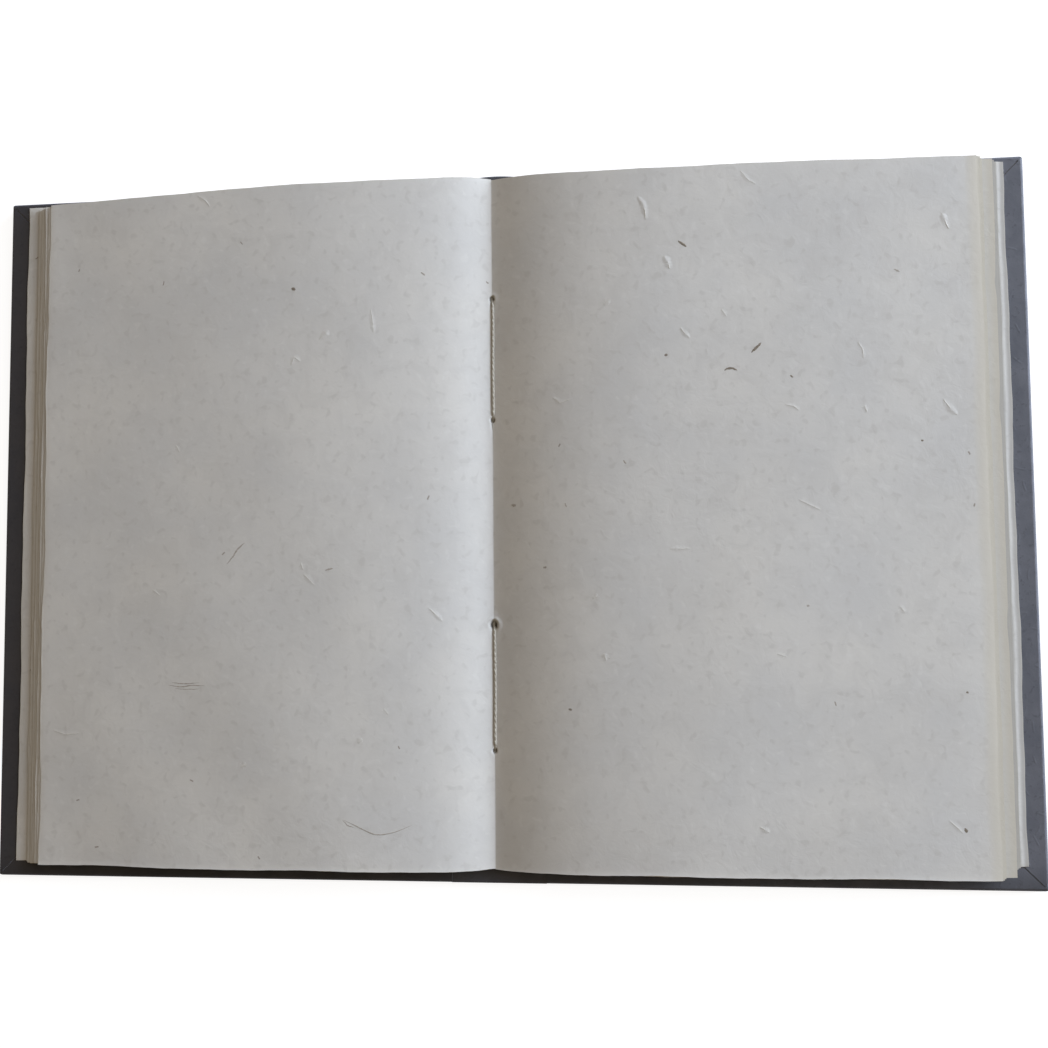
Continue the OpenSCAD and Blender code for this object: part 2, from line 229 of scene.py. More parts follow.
# Covering: handmade paper dyed slate grey, pressed on the boards: mottled over 9 mm where the dye pooled, with dye
# spots 1.3 mm across, soft fibres 3 mm long, faintly polished by handling. noise and levels are as in paperLook
coverLook = dict(
    base="#525358", dark="#43454B", pale="#5E5F65", spot="#2D2D30", roughness=(0.6, 0.78), specular=0.6, relief=0.08,
    noise=dict(patch=(9, 5, 0.6, 0.4), crumb=(1.3, 3, 0.65, 0)),
    levels=dict(dark=("patch", 0.47, 0.7, 0.6), pale=("patch", 0.46, 0.26, 0.5), spot=("crumb", 0.58, 0.74, 0.6)),
    fibres=dict(cell=4.5, length=3.4, width=0.3, bend=0.5, share=0.6, shift=5.3), bump=dict(crumb=0.4, fibres=0.25),
    sheen=0.35, sheenRoughness=0.45, sheenTint="#C9CDE6",
    # Painted shade: a browner, darker tint towards the front's fore-edge, a darker band at the tail, a darker strip
    leftShadeTint="#958B82", leftShadeFrom=-105, leftShadeTo=115, tailShade=0.6, tailShadeFrom=-91, tailShadeTo=-85, stripShade=0.85)


def makeCoverPaper(name, look, onStrip):
    # Painted shade: the colour is browner and darker towards the front's fore-edge, and darker over the last 6 mm at
    # the tail: colour * tint(x) * shade(y). The spine's strip lies on a map and has one painted shade all along
    made, tree = newMaterial(name)
    place = addNode(tree, "UVMap", dict(uv_map="page")) if onStrip else addNode(tree, "TexCoord").outputs["Object"]
    patterns = {"fibres": fibreHeights(tree, place, look["fibres"])}
    for key, (size, detail, roughness, distortion) in look["noise"].items():
        patterns[key] = addNode(tree, "TexNoise", None, {"Vector": place, "Scale": 1 / (size * mm),
                                "Detail": detail, "Roughness": roughness, "Distortion": distortion})
    tone = colour(look["base"])
    for key, (source, low, high, most) in look["levels"].items():
        share = addNode(tree, "MapRange", None,
                        {"Value": patterns[source], "From Min": low, "From Max": high, "To Max": most})
        tone = addNode(tree, "Mix", colourMix, {0: share, 6: tone, 7: colour(look[key])})
    axes = addNode(tree, "SeparateXYZ", None, {0: place})
    # Painted shade: browner and darker towards the front's fore-edge
    leftShade = addNode(tree, "MapRange", smooth,
                   {"Value": axes, "From Min": look["leftShadeFrom"] * mm, "From Max": look["leftShadeTo"] * mm})
    tint = addNode(tree, "Mix", colourMix, {0: leftShade, 6: colour(look["leftShadeTint"]), 7: (1, 1, 1, 1)})
    tinted = addNode(tree, "VectorMath", multiply, {0: tone, 1: tint})
    # Painted shadow of the leaves over the last 6 mm at the tail; the spine's strip takes one painted shade all along
    shadeScale = look["stripShade"] if onStrip else addNode(tree, "MapRange", smooth, {
        "Value": axes.outputs[1], "From Min": look["tailShadeFrom"] * mm, "From Max": look["tailShadeTo"] * mm,
        "To Min": look["tailShade"], "To Max": 1})
    shaded = addNode(tree, "VectorMath", dict(operation="SCALE"), {0: tinted, "Scale": shadeScale})
    rough = addNode(tree, "MapRange", None, {"Value": patterns["patch"], "From Min": 0.3, "From Max": 0.7,
                    "To Min": look["roughness"][0], "To Max": look["roughness"][1]})
    height = 0
    for key, weight in look["bump"].items():
        height = addNode(tree, "Math", multiplyAdd, {0: patterns[key], 1: weight, 2: height})
    bump = addNode(tree, "Bump", None, {"Strength": 1, "Distance": look["relief"] * mm, "Height": height})
    shader = addNode(tree, "BsdfPrincipled", None, {
        "Base Color": shaded, "Roughness": rough, "Specular IOR Level": look["specular"], "Normal": bump,
        "Sheen Weight": look["sheen"], "Sheen Roughness": look["sheenRoughness"],
        "Sheen Tint": colour(look["sheenTint"])})
    addNode(tree, "OutputMaterial", None, {0: shader})
    return made


slateCover = makeCoverPaper("slateHandmadePaper", coverLook, False)
slateStrip = makeCoverPaper("slateHandmadePaperStrip", coverLook, True)


def dressNode(node, material):
    # A CAD node keeps its mesh and gets its material in every slot
    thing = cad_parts[node]
    if not thing.material_slots:
        thing.data.materials.append(material)
    for slot in thing.material_slots:
        slot.material = material


for node in ("front_cover_paper", "back_cover_paper"):
    dressNode(node, slateCover)
for node in ("front_board", "back_board", "spine_board"):
    dressNode(node, boardMaterials["greyboard"])
dressNode("spine_lining", boardMaterials["lining"])
print("papers and boards mixed")


# Leaves: the same curves as the CAD solid, so each visual leaf lies inside it. clear keeps the lower leaves off the
# needle holes, and clearReach is where they are back in line
leaves = dict(height=178, middle=1.25, fold=0.6, base=3.15, foldThickness=0.95, thickness=0.24, rollBias=1.15,
              notch=0.2, notchHalf=7.0, curl=0.1, curlWidth=5.0, uneven=0.2, ragged=0.35, clear=1.3, clearReach=14,
              blendEnd=12.5)
# shade (painted shade on the leaves under the top one) and band (cream at the fore-edge) hold the lower group's
# value, then the upper one's; worn (cream along the edges) holds the top leaf's, then the others'. sections has a
# number for
# each sewn section: on the left the share of the arch that it rises to, while on the right each leaf rises by its own
# share
leftHalf = dict(name="left", side=-1, stack=2.45, arch=3.8, bias=0.7, roll=4.8, reach=(126.2, 121.4), split=0,
                jump=0.0, shortTail=0.0, shortHead=0.0, count=9, sections=(0.22, 0.58, 1.0), bow=(0.95, 1.65, 0.35),
                shade=(0.0, 0.0), worn=(0.2, 0.2), band=(0.1, 0.1), bandWidth=1.6, bandPower=2,
                body="front_cover", seed=11)
rightHalf = dict(name="right", side=1, stack=5.4, arch=1.2, bias=0.65, roll=13.0, reach=(128.5, 123.0), split=0.52,
                 jump=2.4, shortTail=2.0, shortHead=0.2, count=17, sections=(0.2, 0.5, 0.8, 1.0),
                 bow=(0.4, 0.6, 0.75), shade=(1.0, 0.3), worn=(0.2, 0.3), band=(0.1, 0.75), bandWidth=2.7,
                 bandPower=4, body="back_cover", seed=23)
needleHoles = dict(places=(59.25, 27.25, -25.75, -57.75), x=-0.6, radius=(0.62, 0.55, 0.95, 0.55), depth=1.0,
                   lip=(0.08, 0.05, 0.26, 0.08), lipTurn=(40, 200, 50, 260))
# Lengths and sizes of the waves along a leaf's edges, and the places of its columns and rows in millimetres
leafWaves = dict(head=((61, 23, 9.5), (0.11, 0.05, 0.02)), tail=((53, 27, 8.3), (0.13, 0.06, 0.03)),
                 fore=((74, 31, 12, 5.3), (0.22, 0.12, 0.06, 0.03)))
topGrid = dict(inner=(0, 0.12, 0.25, 0.4, 0.6, 0.8, 1.0, 1.25, 1.6, 2.0, 2.5, 3.1, 3.8, 4.6, 5.6, 6.8, 8.2, 10, 12,
                      14), outer=(3.2, 2.2, 1.4, 0.8, 0.4, 0.15, 0), rows=(1.9, 0.17, 1.55))
lowerGrid = dict(inner=(0, 0.6, 1.4, 2.4, 3.6, 5.2, 7.5, 10.5, 14), outer=(3.0, 1.0, 0.3, 0), rows=(5.5, 0.45, 0.9))


def rise(half, d, arched=1.0):
    # Thickness of the half at distance d from the fold: its stack, plus the arch as a sine of the distance to the
    # power bias, less the curl at the fore-edge, all growing out of the fold as 1 - exp(-(d / roll) ^ rollBias)
    reachTop = half["reach"][1]
    u = np.clip(d / reachTop, 0, 1)
    laid = half["stack"] + arched * half["arch"] * np.sin(np.pi * u ** half["bias"])
    if half["side"] > 0:
        curling = np.clip(np.minimum(d, reachTop) - reachTop + leaves["curlWidth"], 0, None) / leaves["curlWidth"]
        laid = laid - leaves["curl"] * curling ** 2
    grown = 1 - np.exp(-(np.maximum(d, 0) / half["roll"]) ** leaves["rollBias"])
    return leaves["foldThickness"] + (laid - leaves["foldThickness"]) * grown


def reachOf(half, share, index):
    # Distance from the fold to the fore-edge: it shrinks from the lowest leaf to the top one, the lower group's
    # leaves are a jump longer, and each wanders by uneven * sin(137 degrees * index)
    low, top = half["reach"]
    jump = half["jump"] if share < half["split"] else 0.0
    wander = 0.0 if share > 0.95 or share < 0.05 else leaves["uneven"] * np.sin(np.radians(137 * index))
    return top + (low - top - half["jump"]) * (1 - share) + jump + wander


def waves(where, lengths, sizes, phases):
    # Sum of sines of the given lengths and sizes
    where = np.asarray(where, float)[..., None]
    return (np.array(sizes) * np.sin(2 * np.pi * where / np.array(lengths) + np.array(phases))).sum(-1)


def leafHeight(half, share, weight, d, y, cockle):
    # Height of a leaf's upper face: its share of the flat stack, plus the section's weight of the arch, plus the
    # paper's cockle, which dies out 12 mm from the fold and is weaker at the fore-edge
    flat, arched = rise(half, d, 0.0), rise(half, d, 1.0)
    z = leaves["base"] + share * flat + weight * (arched - flat)
    away = np.clip((d - 12) / 30, 0, 1) * np.clip((half["reach"][1] + 3 - d) / 10, 0.25, 1)
    return z + away * cockle(d, y)


def makeCockle(seed, size):
    # Soft swells of dried paper: products of sines about 35 to 90 mm long
    rng = np.random.default_rng(seed)
    turns, phases = rng.uniform(0, np.pi, 5), rng.uniform(0, 6.28, (5, 2))
    lengths, sizes = rng.uniform(34, 88, (5, 2)), size * rng.uniform(0.4, 1.0, 5)

    def cockle(d, y):
        total = 0
        for turn, phase, length, high in zip(turns, phases, lengths, sizes):
            a, b = d * np.cos(turn) + y * np.sin(turn), y * np.cos(turn) - d * np.sin(turn)
            swell = np.sin(2 * np.pi * a / length[0] + phase[0]) * np.sin(2 * np.pi * b / length[1] + phase[1])
            total = total + high * swell
        return total
    return cockle


def rowPlaces(step, fine, reachOut):
    # Places up the page, closer together at the head, the tail and the needle holes
    half = leaves["height"] / 2
    ends = np.array([0, 0.15, 0.4, 0.8, 1.4, 2.2, 3.4])
    plain = np.arange(-half + 5, half - 5 + 1e-6, step)
    holes = np.array(needleHoles["places"]) - leaves["middle"]
    near = np.concatenate([y + np.arange(-reachOut, reachOut + 1e-6, fine) for y in holes])
    kept = plain[np.abs(plain[:, None] - holes).min(1) > reachOut + fine]
    return np.unique(np.concatenate([-half + ends, kept, near, half - ends]).round(3))


def sheetMesh(name, top, thickness, material, uv, attributes, turn):
    # A closed sheet from the grid of its outer face: the inner face lies a thickness down the normals (turn 1 where
    # columns x rows point outwards, else -1), and quads close the four rims
    rows, cols = top.shape[:2]
    normal = np.cross(np.gradient(top, axis=1), np.gradient(top, axis=0))
    normal /= np.linalg.norm(normal, axis=2, keepdims=True) + 1e-12
    under = top - normal * turn * thickness[..., None]
    verts = np.concatenate([top.reshape(-1, 3), under.reshape(-1, 3)]) * mm
    n = rows * cols
    i = np.arange(n).reshape(rows, cols)
    upper = np.stack([i[:-1, :-1], i[:-1, 1:], i[1:, 1:], i[1:, :-1]], -1).reshape(-1, 4)
    rim = np.concatenate([i[0, :-1], i[:-1, -1], i[-1, :0:-1], i[:0:-1, 0]])
    rimNext = np.roll(rim, -1)
    sides = np.stack([rimNext, rim, rim + n, rimNext + n], -1)
    faces = np.concatenate([upper, upper[:, ::-1] + n, sides])
    if turn < 0:
        faces = faces[:, ::-1]
    made = bpy.data.meshes.new(name)
    made.from_pydata(verts.tolist(), [], faces.tolist())
    setMap(made, np.concatenate([uv.reshape(-1, 2)] * 2))
    for key, value in attributes.items():
        values = np.concatenate([value.ravel()] * 2).astype(np.float32)
        made.attributes.new(key, "FLOAT", "POINT").data.foreach_set("value", values)
    made.materials.append(material)
    return made


def setMap(mesh, places):
    # The map "page" holds each vertex's place on its sheet, in metres
    loops = np.zeros(len(mesh.loops), np.int32)
    mesh.loops.foreach_get("vertex_index", loops)
    mesh.uv_layers.new(name="page").data.foreach_set("uv", (places * mm)[loops].astype(np.float32).ravel())


def tubeMesh(name, path, across, high, material, sides=8):
    # A closed tube along a path: each ring is path + across * cos(a) * side + high * sin(a) * up
    ahead = np.gradient(path, axis=0)
    ahead /= np.linalg.norm(ahead, axis=1, keepdims=True)
    up = np.tile([0.0, 0.0, 1.0], (len(path), 1))
    up[np.abs(ahead[:, 2]) > 0.6] = (1, 0, 0)
    side = np.cross(ahead, up)
    side /= np.linalg.norm(side, axis=1, keepdims=True)
    up = np.cross(side, ahead)
    angle = np.linspace(0, 2 * np.pi, sides, endpoint=False)
    aside = across[:, None, None] * np.cos(angle)[None, :, None] * side[:, None]
    rings = path[:, None] + aside + high[:, None, None] * np.sin(angle)[None, :, None] * up[:, None]
    i = np.arange(len(path) * sides).reshape(len(path), sides)
    j = np.roll(i, -1, axis=1)
    faces = np.stack([i[:-1], j[:-1], j[1:], i[1:]], -1).reshape(-1, 4)
    caps = []
    for ring, order in ((i[0], -1), (i[-1], 1)):
        # Both ends close with a strip of quads across the last ring
        for k in range(sides // 2 - 1):
            caps.append([ring[k], ring[k + 1], ring[sides - k - 2], ring[sides - k - 1]][::order])
    made = bpy.data.meshes.new(name)
    made.from_pydata((rings.reshape(-1, 3) * mm).tolist(), [], np.concatenate([faces, np.array(caps)]).tolist())
    length = np.concatenate([[0], np.cumsum(np.linalg.norm(np.diff(path, axis=0), axis=1))])
    setMap(made, np.stack(np.broadcast_arrays(length[:, None], across[:, None] * angle[None, :]), -1).reshape(-1, 2))
    made.materials.append(material)
    return made


def joinMeshes(name, meshes, materials):
    # One object from several meshes, as arrays laid end to end; each mesh brings the number of its material
    verts, faces, uvs, slots = [], [], [], []
    extra = {"rim": [], "hole": [], "under": []}
    start = 0
    for mesh, slot in meshes:
        co = np.zeros(len(mesh.vertices) * 3, np.float32)
        mesh.vertices.foreach_get("co", co)
        index = np.zeros(len(mesh.loops), np.int32)
        mesh.loops.foreach_get("vertex_index", index)
        uv = np.zeros(len(mesh.loops) * 2, np.float32)
        mesh.uv_layers["page"].data.foreach_get("uv", uv)
        faces.append(index.reshape(-1, 4) + start)
        verts.append(co.reshape(-1, 3))
        uvs.append(uv)
        slots.append(np.full(len(mesh.polygons), slot, np.int32))
        for key in extra:
            value = np.zeros(len(mesh.vertices), np.float32)
            if key in mesh.attributes:
                mesh.attributes[key].data.foreach_get("value", value)
            extra[key].append(value)
        start += len(mesh.vertices)
        bpy.data.meshes.remove(mesh)
    made = bpy.data.meshes.new(name)
    made.from_pydata(np.concatenate(verts).tolist(), [], np.concatenate(faces).tolist())
    made.uv_layers.new(name="page").data.foreach_set("uv", np.concatenate(uvs))
    for key, value in extra.items():
        made.attributes.new(key, "FLOAT", "POINT").data.foreach_set("value", np.concatenate(value))
    for material in materials:
        made.materials.append(material)
    made.polygons.foreach_set("material_index", np.concatenate(slots))
    made.shade_smooth()
    made.set_sharp_from_angle(angle=np.radians(50))
    thing = bpy.data.objects.new(name, made)
    bpy.context.scene.collection.objects.link(thing)
    return thing


def holeShape(x, y):
    # Each needle hole is a funnel, depth * exp(-(r / radius) ^ 4), with a lip of paper pushed up on one side of it;
    # dark is the mask of the painted shade inside it
    drop, dark = np.zeros_like(x), np.zeros_like(x)
    for place, radius, lip, turn in zip(*[needleHoles[key] for key in ("places", "radius", "lip", "lipTurn")]):
        dx, dy = x - needleHoles["x"], y - place
        r = np.hypot(dx, dy * 0.85)
        drop = drop + needleHoles["depth"] * np.exp(-(r / radius) ** 4)
        facing = 0.5 + 0.5 * np.cos(np.arctan2(dy, dx) - np.radians(turn))
        drop = drop - lip * facing * np.exp(-((r - radius - 0.45) / 0.42) ** 2)
        dark = np.maximum(dark, np.exp(-(r / (radius * 0.9)) ** 4))
    return drop, dark


def makeLeaf(half, index, topmost, cockle, rng):
    # One leaf as a grid: columns run from the fold to the fore-edge, rows from tail to head
    sections, grid = half["sections"], topGrid if topmost else lowerGrid
    share = (index + 1) / half["count"]
    lower = share <= half["split"]
    section = min(int(index * len(sections) / half["count"]), len(sections) - 1)
    if half["side"] > 0:
        weight = share
    else:
        # The leaves of a section lie close together, in the top 0.12 of the step up from the section below
        within = (index + 1) / (half["count"] / len(sections)) - section
        step = sections[section] - (sections[section - 1] if section else 0.0)
        weight = sections[section] - (0 if topmost else 0.12 * (1 - within) * step)
    reach = reachOf(half, share - 0.5 / half["count"], index)
    rest = np.arange(16.5, reach - 4, 2.3) if topmost else np.linspace(19, reach - 7, 9)
    cols = np.concatenate([grid["inner"], rest, reach - np.array(grid["outer"])])
    rows = rowPlaces(*grid["rows"])
    phases = rng.uniform(0, 6.28, 8)
    shortTail, shortHead = (half["shortTail"], half["shortHead"]) if lower else (0.0, 0.0)
    full = leaves["height"] / 2
    across = cols[None, :]
    notch = leaves["notch"] * np.clip(1 - across / leaves["notchHalf"], 0, 1) ** 1.6
    beyond = np.clip((across - 14) / 2, 0, 1)
    # The head bows up a little towards the fold: bow[0] - bow[1] * (d / reach) ^ 1.8 + bow[2] * exp(-(d / 14) ^ 2)
    bowed = half["bow"][0] - half["bow"][1] * (across / reach) ** 1.8 + half["bow"][2] * np.exp(-(across / 14) ** 2)
    head = full - notch - shortHead * beyond + bowed + waves(across, *leafWaves["head"], phases[:3]) - 0.1
    tail = -full + notch + shortTail * beyond + waves(across, *leafWaves["tail"], phases[3:6]) + 0.1
    if not topmost:
        head, tail = head - rng.uniform(0, leaves["ragged"]), tail + rng.uniform(0, leaves["ragged"])
    y = tail + (head - tail) * ((rows + full) / (2 * full))[:, None]
    edge = waves(y, *leafWaves["fore"], phases[[6, 7, 0, 1]]) - 0.15
    d = across * (1 + edge / reach)
    if not topmost:
        # The lower leaves stop short of the needle holes, which run through the fold
        away = (y[:, :1] + leaves["middle"] - np.array(needleHoles["places"])) / 1.1
        kept = leaves["clear"] * np.exp(-away ** 4).max(1, keepdims=True)
        back = leaves["clearReach"]
        d = np.maximum(d, kept * (1 - across / back).clip(0, 1) + across * (1 - kept / back))
    x = half["side"] * d - leaves["fold"]
    z = leafHeight(half, share, weight, d, y, cockle)
    toFore, toEnds = reach - across + 0 * y, np.minimum(head - y, y - tail)
    toEdge = np.minimum(toFore, toEnds)
    hole = np.zeros_like(z)
    if topmost:
        # The edges droop by a few hundredths and the tail's edge lifts
        # The needle holes sink in, and hole masks the painted shade inside them
        drop, hole = holeShape(x, y + leaves["middle"])
        z = z - drop - 0.03 * np.exp(-toEdge / 0.6) + 0.13 * np.exp(-(y - tail) / 0.45)
    # A leaf is no thicker than 0.85 of the room that it has, and thins to 0.45 of that over its last 0.7 mm
    room = np.minimum(leaves["thickness"], 0.85 * rise(half, d) / half["count"])
    thickness = room * (0.45 + 0.55 * np.clip(toEdge / 0.7, 0, 1))
    # Cream along every edge and in a band at the fore-edge
    band = half["band"][0 if lower else 1] * np.exp(-(toFore / half["bandWidth"]) ** half["bandPower"])
    rim = half["worn"][0 if topmost else 1] * np.exp(-toEdge / 0.45) + band
    # Painted shade: the leaves under the top one are darker by the group's share
    under = (0.0 if topmost else half["shade"][0 if lower else 1]) + 0 * z
    uv = np.stack([half["side"] * d + 400 * index, y + 300 * index], -1)
    top = np.stack([x, y + leaves["middle"], z], -1)
    looks = dict(rim=np.clip(rim, 0, 1), hole=hole, under=under)
    return sheetMesh("leaf", top, thickness, handmadePaper, uv, looks, half["side"]), section


# Fibres, brown strands and bark flecks on the two open pages. Each is a half width, a height, and the points it runs
# through, which are places across the spread and up from the middle of the page
fibreMarks = dict(
    pale=[(0.26, 0.1, ((38.1, 81.75), (39.3, 79.85), (39.8, 77.75), (40, 75.65))), (0.3, 0.1, ((44.4, 66.15),
          (45.4, 64.25), (45.8, 62.65))), (0.24, 0.08, ((48.3, 47.45), (49.2, 46.15), (50.5, 44.85))),
          (0.22, 0.06, ((15.7, 30.95), (17.5, 29.35), (20.1, 30.25))), (0.22, 0.05, ((44.5, -8.25), (47.2, -8.35),
          (49.9, -8.35))), (0.28, 0.09, ((112.1, 27.65), (113.7, 25.35), (115.4, 23.65))),
          (0.24, 0.06, ((-31.8, 55.35), (-31.3, 52.25), (-31, 49.05))), (0.28, 0.08, ((-45.5, 47.75), (-44, 48.95),
          (-42.9, 49.95))), (0.26, 0.07, ((-53, 41.15), (-52.2, 43.45), (-50.6, 42.15))),
          (0.24, 0.08, ((-16.9, -22.55), (-15.2, -24.05), (-13.4, -25.85))), (0.28, 0.09, ((113.3, 74.35),
          (113.9, 72.25), (114.8, 70.25))), (0.22, 0.04, ((76.6, 3.35), (79.2, 2.05), (81.9, 0.75))),
          (0.22, 0.04, ((64, 87.25), (65.9, 84.75), (67.9, 83.65))), (0.22, 0.05, ((73.8, 27.25), (76, 26.75),
          (77.2, 25.65))), (0.22, 0.04, ((-79.3, 88.05), (-77, 86.65), (-75.8, 84.85))),
          (0.28, 0.07, ((27.8, -34.25), (28.5, -36.05))), (0.26, 0.05, ((93.1, 26.55), (93.7, 24.75))),
          (0.22, 0.04, ((-90.6, -17.05), (-88.6, -18.55))), (0.22, 0.04, ((-118.6, -53.85), (-114.5, -55.05),
          (-110.9, -54.55))), (0.22, 0.05, ((110.3, -74.65), (113.6, -77.75))), (0.24, 0.06, ((65.3, -76.55),
          (67.7, -77.95))), (0.24, 0.06, ((-35.1, -56.65), (-33.8, -55.85))), (0.26, 0.05, ((-49.4, -13.55),
          (-48.3, -14.55), (-46.6, -16.25))), (0.24, 0.05, ((25.2, -20.65), (26.5, -19.65))),
          (0.24, 0.04, ((-50.2, -10.55), (-49.6, -12.35))), (0.24, 0.05, ((58.6, 51.85), (59.8, 49.95))),
          (0.22, 0.04, ((92, 42.55), (93.1, 40.45), (93.3, 38.25))), (0.24, 0.04, ((29, 54.05), (30.6, 55.45))),
          (0.24, 0.04, ((100.2, -22.95), (101.4, -24.75))), (0.22, 0.04, ((70.5, -34.55), (72.8, -35.35))),
          (0.24, 0.04, ((-84.6, 21.05), (-83.5, 19.15))), (0.24, 0.04, ((-28.4, -48.05), (-27.2, -49.55))),
          (0.24, 0.04, ((-66, -62.95), (-64.4, -62.15)))],
    faint=[(0.22, 0.03, ((-70.2, -10.75), (-68.3, -8.45), (-67.2, -6.65), (-65.3, -5.15))),
           (0.15, 0.03, ((-39, -75.95), (-34.9, -77.65), (-30.8, -79.85), (-26.3, -79.35), (-21.2, -77.25))),
           (0.13, 0.03, ((-39, -75.95), (-37.5, -77.45), (-35.9, -77.85))), (0.16, 0.02, ((-86.1, -41.95),
           (-82.4, -42.45), (-79.1, -41.95), (-75.8, -42.15))), (0.14, 0.02, ((-85.2, -41.25), (-81.9, -41.65),
           (-77.4, -41.35))), (0.12, 0.02, ((-84.2, -42.85), (-80.9, -43.05), (-77.4, -42.95))),
           (0.24, 0.03, ((-43.7, -12.65), (-42.6, -12.25), (-41.6, -12.15))), (0.42, 0.03, ((4.5, 3.65),
           (5.6, 3.65))), (0.2, 0.03, ((-18.6, 64.85), (-17.5, 63.95))), (0.25, 0.03, ((77.9, -22.95),
           (78.6, -22.75))), (0.2, 0.03, ((84.1, -46.15), (84.4, -47.35))), (0.2, 0.03, ((18.4, 3.75),
           (18.9, 2.65))), (0.2, 0.03, ((101.3, 60.55), (102.6, 59.85))), (0.22, 0.03, ((33.4, 14.25),
           (34.1, 13.15)))],
    dark=[(0.38, 0.04, ((-52.9, 61.55), (-51.9, 61.25))), (0.3, 0.05, ((48, 69.85), (50.2, 68.25))),
          (0.32, 0.05, ((65.7, 40.55), (67, 41.75), (68.3, 43.05))), (0.28, 0.04, ((59, 36.25), (59.8, 36.75),
          (61.2, 36.75), (62.2, 36.15))), (0.3, 0.04, ((44.1, 40.65), (44.9, 40.65))), (0.22, 0.03, ((75.2, 34.55),
          (75.9, 33.95))), (0.25, 0.03, ((18.7, -48.15), (19.7, -48.35))), (0.25, 0.03, ((106.6, 17.55),
          (107.1, 17.35))), (0.25, 0.03, ((115.4, -43.95), (115.8, -44.25))), (0.4, 0.04, ((114, -76.55),
          (114.5, -77.55)))])


def smoothed(line, times):
    # Each inner point becomes a quarter of its two neighbours and half of itself
    for _ in range(times):
        line[1:-1] = (line[:-2] + 2 * line[1:-1] + line[2:]) / 4
    return line


def markLine(points, rng):
    # Centre line of a mark: its points joined and smoothed, with a small wriggle; it narrows to both ends as the root
    # of a sine
    at = np.array(points)
    t = np.linspace(0, 1, 25)
    line = smoothed(np.stack([np.interp(t, np.linspace(0, 1, len(at)), at[:, k]) for k in (0, 1)], 1), 6)
    wander = smoothed(rng.normal(0, 0.05, line.shape), 2)
    narrow = np.sqrt(np.clip(np.sin(np.pi * t), 0.01, 1)) * (1 + rng.normal(0, 0.13, len(t)))
    return line + wander, narrow


def makeMark(half, mark, kind, cockle, rng):
    # The fibre itself lies half sunk in its page
    wide, high, points = mark
    line, narrow = markLine(points, rng)
    lift, flat = (0.02, 0.7) if kind == "pale" else (0.005, 1)
    z = leafHeight(half, 1.0, 1.0, half["side"] * (line[:, 0] + leaves["fold"]), line[:, 1], cockle) + lift
    path = np.column_stack([line[:, 0], line[:, 1] + leaves["middle"], z])
    return tubeMesh(kind + "Fibre", path, wide * narrow, flat * high * narrow, fibreMaterials[kind])


def makeMound(half, mark, index, cockle, rng):
    # The sheet swells beside a pale fibre: a low mound, high * cos(pi * o / 2) ^ 2 over the offset o, uneven along it
    wide, high, points = mark
    line, narrow = markLine(points, rng)
    o = np.linspace(-1, 1, 11)
    ahead = np.gradient(line, axis=0)
    ahead /= np.linalg.norm(ahead, axis=1, keepdims=True)
    right = np.column_stack([ahead[:, 1], -ahead[:, 0]])
    spread = 4.2 * wide * o[None, :, None] * right[:, None] * (0.3 + 0.7 * narrow[:, None, None])
    flat = line[:, None] + spread
    uneven = 1 + 0.35 * np.sin(np.linspace(0, 5, 25) + rng.uniform(0, 6))
    swell = 0.85 * high * (narrow * uneven)[:, None] * np.cos(np.pi * o / 2)[None, :] ** 2
    d = half["side"] * (flat[..., 0] + leaves["fold"])
    z = leafHeight(half, 1.0, 1.0, d, flat[..., 1], cockle) + swell - 0.004
    top = np.stack([flat[..., 0], flat[..., 1] + leaves["middle"], z], -1)
    uv = np.stack([half["side"] * d + 400 * index, flat[..., 1] + 300 * index], -1)
    return sheetMesh("mound", top, np.full(z.shape, 0.03), handmadePaper, uv, {}, 1)


def makeHalf(half):
    # The leaves from the lowest to the open page, then the open page's marks, joined into one piece for each section
    rng = np.random.default_rng(half["seed"])
    cockle = makeCockle(half["seed"], 0.075)
    count, side, sections = half["count"], half["side"], {}
    for index in range(count):
        mesh, section = makeLeaf(half, index, index == count - 1, cockle, rng)
        sections.setdefault(section, []).append((mesh, 0))
    upper = sections[len(half["sections"]) - 1]
    for slot, kind in enumerate(("pale", "faint", "dark"), 1):
        for mark in fibreMarks[kind]:
            if np.sign(mark[2][-1][0]) == side:
                upper.append((makeMark(half, mark, kind, cockle, rng), slot))
                if kind == "pale":
                    upper.append((makeMound(half, mark, count - 1, cockle, rng), 0))
    triangles = 0
    for section, meshes in sorted(sections.items()):
        materials = [handmadePaper] + [fibreMaterials[kind] for kind in ("pale", "faint", "dark")]
        thing = joinMeshes(f"{half['name']}Leaves{section + 1}", meshes, materials)
        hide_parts("pages")
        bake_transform(thing)
        triangles += 2 * len(thing.data.polygons)
    print(half["name"], "leaves:", count, "in", len(sections), "sections,", triangles, "triangles")


makeHalf(leftHalf)
makeHalf(rightHalf)


# End leaves glued inside the covers: each runs on under the leaves, over the joint, to the back. A ridge runs along
# the back one near its fore-edge, where it is lit; the rest of it is darkened with painted shade
endPapers = dict(
    frontEndpaper=dict(side=-1, outer=129.75, tail=-87.65, head=90.25, ridge=0.0, shade=0.0,
                       body="front_cover", node="front_pastedown", seed=5),
    backEndpaper=dict(side=1, outer=130.1, tail=-85.65, head=90.25, ridge=0.09, shade=1.0,
                      body="back_cover", node="back_pastedown", seed=6))
endPaperShape = dict(
    inner=6.4, top=3.05, joint=(8.1, 13.0), dip=0.22, ridgePlace=1.7, blendStart=5.8,
    outerCols=(2.7, 2.4, 2.1, 1.8, 1.5, 1.2, 0.9, 0.6, 0.3, 0.1, 0),
    head=((57, 21, 8), (0.14, 0.08, 0.05)), tail=((63, 25, 9), (0.14, 0.08, 0.05)),
    fore=((71, 29, 11), (0.13, 0.08, 0.05)))


